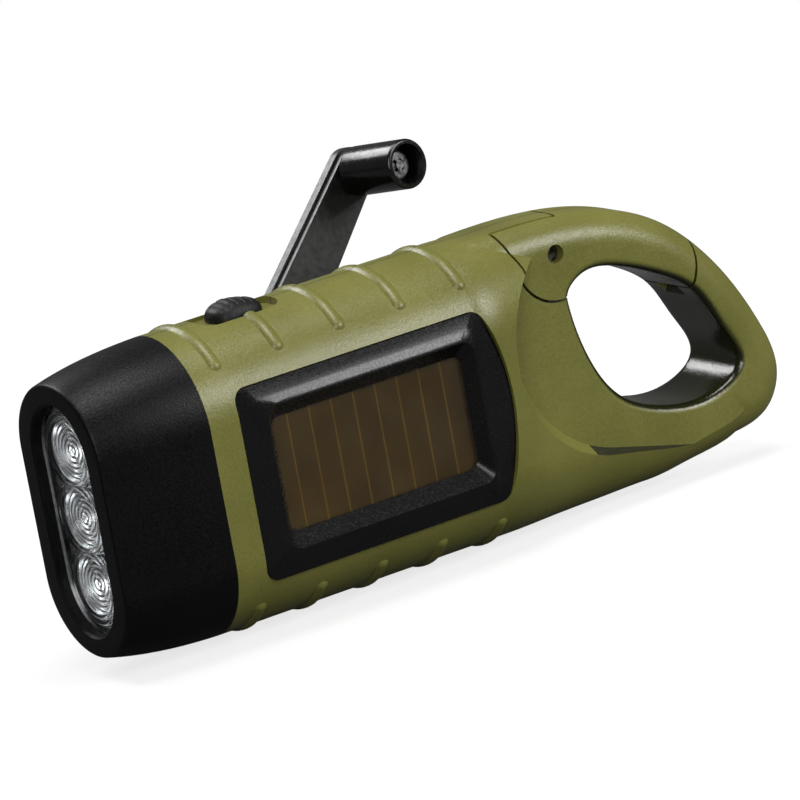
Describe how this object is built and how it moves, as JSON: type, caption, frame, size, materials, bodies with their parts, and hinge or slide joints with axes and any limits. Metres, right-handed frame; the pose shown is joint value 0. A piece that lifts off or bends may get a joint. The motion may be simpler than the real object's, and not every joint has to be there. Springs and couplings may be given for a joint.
{
  "type": "hand crank flashlight",
  "caption": "Hand crank and solar flashlight with a folding winding crank, a thumb switch and a sprung carabiner gate in its grip.",
  "frame": {"origin": "centre of the flat front rim of the head, where the light leaves", "axes": "+X runs back from the light to the carabiner end, +Z is the side of the thumb switch, +Y is the side of the winding crank and -Y the side of the solar panel"},
  "size_m": [0.1422, 0.0469, 0.0693],
  "materials": {
    "green_plastic": "fine-grained satin",
    "black_plastic": "satin",
    "gloss_black": "gloss",
    "clear_lens": "clear polished",
    "panel_window": "clear gloss",
    "reflector_chrome": "mirror-bright",
    "solar_cell": "dark brown striped under gloss",
    "steel": "zinc-plated",
    "board_green": "satin solder mask",
    "lamp_clear": "clear",
    "white_gear": "satin moulded",
    "copper_coil": "enamelled wire sheen",
    "magnet": "dark sintered",
    "chip_black": "matte",
    "sleeve_green": "satin shrink film"
  },
  "bodies": {
    "casing": {"head_bezel": "black_plastic", "lens": "clear_lens", "reflector": "reflector_chrome", "lamp_board": "board_green", "lamp_top": "lamp_clear", "lamp_middle": "lamp_clear", "lamp_bottom": "lamp_clear", "left_shell": "green_plastic", "right_shell": "green_plastic", "casing_screws": "steel", "gate_pin": "steel", "gate_spring": "steel", "panel_frame": "black_plastic", "panel_window": "panel_window", "solar_cell": "solar_cell", "switch_case": "steel", "switch_board": "board_green", "first_axle": "steel", "second_axle": "steel", "gear_plate": "white_gear", "plate_screws": "steel", "generator_can": "steel", "coil_bobbin": "white_gear", "generator_coil": "copper_coil", "main_board": "board_green", "button_cell_top": "steel", "button_cell_middle": "steel", "button_cell_bottom": "steel", "cell_sleeve": "sleeve_green", "battery_cradle": "black_plastic", "capacitor": "chip_black", "charge_chip": "chip_black", "rectifier": "chip_black"},
    "gate": {"gate": "green_plastic"},
    "switch": {"switch_slider": "black_plastic", "switch_lever": "steel"},
    "crank_hub": {"crank_hub": "gloss_black", "hinge_pin": "steel", "crank_gear": "white_gear", "hub_screw": "steel", "hub_washer": "steel"},
    "crank_arm": {"crank_arm": "gloss_black", "knob_screw": "steel"},
    "knob": {"crank_knob": "gloss_black"},
    "first_gear": {"first_gear": "white_gear"},
    "second_gear": {"second_gear": "white_gear"},
    "rotor": {"rotor_magnet": "magnet", "rotor_shaft": "steel", "rotor_pinion": "white_gear"}
  },
  "joints": [
    {"name": "gate_swing", "type": "hinge", "parent": "casing", "child": "gate", "pos_m": [0.0981, 0, 0.0201], "axis": [0, 1, 0], "range_deg": [0, 28], "stiffness_Nm_per_rad": 0.05, "springref_deg": -28.65},
    {"name": "switch_slide", "type": "slide", "parent": "casing", "child": "switch", "axis": [1, 0, 0], "range_m": [-0.0032, 0]},
    {"name": "crank_spin", "type": "hinge", "parent": "casing", "child": "crank_hub", "pos_m": [0.0438, 0, 0], "axis": [0, 1, 0], "continuous": true},
    {"name": "crank_fold", "type": "hinge", "parent": "crank_hub", "child": "crank_arm", "pos_m": [0.0438, 0.0173, 0], "axis": [-0.6769, 0, 0.7361], "range_deg": [-12, 168]},
    {"name": "knob_spin", "type": "hinge", "parent": "crank_arm", "child": "knob", "pos_m": [0.08268, 0.02853, 0.03575], "axis": [0.153, -0.9781, 0.1407], "continuous": true},
    {"name": "first_gear_spin", "type": "hinge", "parent": "casing", "child": "first_gear", "pos_m": [0.0598, 0, 0], "axis": [0, 1, 0], "continuous": true},
    {"name": "second_gear_spin", "type": "hinge", "parent": "casing", "child": "second_gear", "pos_m": [0.06816, 0, 0.00996], "axis": [0, 1, 0], "continuous": true},
    {"name": "rotor_spin", "type": "hinge", "parent": "casing", "child": "rotor", "pos_m": [0.06816, 0, -0.00204], "axis": [0, 1, 0], "continuous": true}
  ],
  "couplings": [
    {"joint": "first_gear_spin", "follows": "crank_spin", "ratio": -3},
    {"joint": "second_gear_spin", "follows": "crank_spin", "ratio": 6.75},
    {"joint": "rotor_spin", "follows": "crank_spin", "ratio": -13.5}
  ]
}
